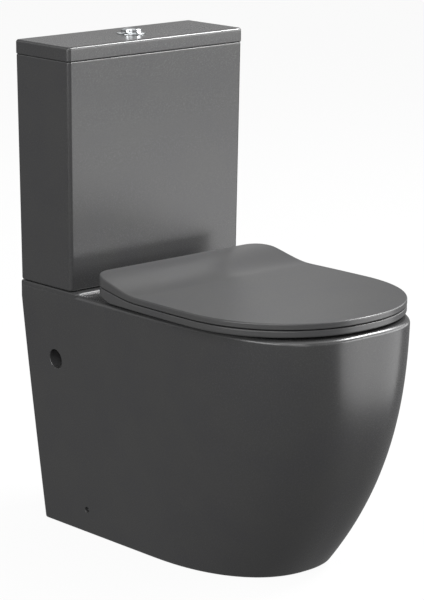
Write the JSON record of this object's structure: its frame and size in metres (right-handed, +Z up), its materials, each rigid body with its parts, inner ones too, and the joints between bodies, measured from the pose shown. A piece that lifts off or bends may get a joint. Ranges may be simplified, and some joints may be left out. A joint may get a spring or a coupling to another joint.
{
  "type": "close coupled toilet",
  "caption": "Back-to-wall close coupled toilet: skirted pan, slim cistern with dual-flush button in its lid, thin soft-close seat and lid, and the flush and fill valves inside.",
  "frame": {"origin": "on the floor, under the middle of the bounding box; x = 0 is the mirror plane of the pan and cistern", "axes": "+Z up, -Y towards the front of the pan, +Y towards the wall, whose plane is y = +0.326"},
  "size_m": [0.394, 0.652, 0.849],
  "materials": {
    "glaze": "satin charcoal glaze on vitreous china",
    "seat": "satin charcoal moulded urea",
    "chrome": "polished",
    "steel": "zinc plated",
    "brass": "pressed",
    "rubber": "matt",
    "white_plastic": "moulded",
    "blue_plastic": "moulded",
    "grey_plastic": "moulded"
  },
  "bodies": {
    "suite": {"pan": "glaze", "pan_bowl": "glaze", "cistern_body": "glaze", "cistern_lid": "glaze", "button_bezel": "chrome", "button_lock_nut": "grey_plastic", "full_flush_spring": "steel", "half_flush_spring": "steel", "flush_valve_base": "white_plastic", "flush_valve_washer": "rubber", "flush_valve_back_nut": "white_plastic", "close_coupling_gasket": "rubber", "flush_valve_tower": "white_plastic", "flush_valve_head": "blue_plastic", "fill_valve_body": "white_plastic", "fill_valve_washer": "rubber", "fill_valve_back_nut": "white_plastic", "fill_valve_head": "grey_plastic", "float_lever_pin": "steel", "tank_bolt_left": "steel", "tank_bolt_right": "steel", "tank_bolt_seal_left": "rubber", "tank_bolt_seal_right": "rubber", "tank_bolt_washer_left": "rubber", "tank_bolt_washer_right": "rubber", "tank_wing_nut_left": "brass", "tank_wing_nut_right": "brass", "hinge_cover_left": "chrome", "hinge_cover_right": "chrome", "hinge_post_left": "chrome", "hinge_post_right": "chrome", "hinge_pin_left": "grey_plastic", "hinge_pin_right": "grey_plastic", "seat_stud_left": "steel", "seat_stud_right": "steel", "seat_nut_left": "white_plastic", "seat_nut_right": "white_plastic", "floor_bracket_left": "steel", "floor_bracket_right": "steel", "side_screw_left": "steel", "side_screw_right": "steel", "outlet_seal": "rubber"},
    "seat": {"seat_ring": "seat", "seat_buffer_front_left": "rubber", "seat_buffer_front_right": "rubber", "seat_buffer_rear_left": "rubber", "seat_buffer_rear_right": "rubber"},
    "lid": {"seat_lid": "seat", "lid_buffer_left": "rubber", "lid_buffer_right": "rubber"},
    "full_button": {"full_flush_button": "chrome", "full_flush_rod": "white_plastic"},
    "half_button": {"half_flush_button": "chrome", "half_flush_rod": "white_plastic"},
    "lift_tube": {"overflow_tube": "white_plastic", "flush_seal": "rubber", "flush_seal_retainer": "blue_plastic"},
    "float": {"float_cup": "blue_plastic", "float_link_rod": "steel"},
    "lever": {"float_lever": "white_plastic"}
  },
  "joints": [
    {"name": "seat_hinge", "type": "hinge", "parent": "suite", "child": "seat", "pos_m": [0, 0.1275, 0.448], "axis": [1, 0, 0], "range_deg": [-96, 0]},
    {"name": "lid_hinge", "type": "hinge", "parent": "seat", "child": "lid", "pos_m": [0, 0.1275, 0.448], "axis": [-1, 0, 0], "range_deg": [0, 96]},
    {"name": "full_flush_press", "type": "slide", "parent": "suite", "child": "full_button", "axis": [0, 0, 1], "range_m": [-0.006, 0], "stiffness_N_per_m": 300, "springref_m": 0.004, "deforming": ["full_flush_spring"]},
    {"name": "half_flush_press", "type": "slide", "parent": "suite", "child": "half_button", "axis": [0, 0, 1], "range_m": [-0.006, 0], "stiffness_N_per_m": 300, "springref_m": 0.004, "deforming": ["half_flush_spring"]},
    {"name": "valve_lift", "type": "slide", "parent": "suite", "child": "lift_tube", "axis": [0, 0, 1], "range_m": [0, 0.014]},
    {"name": "float_slide", "type": "slide", "parent": "suite", "child": "float", "axis": [0, 0, 1], "range_m": [0, 0.008]},
    {"name": "float_lever_turn", "type": "hinge", "parent": "suite", "child": "lever", "pos_m": [0.12, 0.2535, 0.75], "axis": [0, 1, 0], "range_deg": [0, 21]}
  ],
  "couplings": [
    {"joint": "valve_lift", "follows": "full_flush_press", "ratio": -2.3333},
    {"joint": "float_lever_turn", "follows": "float_slide", "rad_per_m": 45}
  ]
}
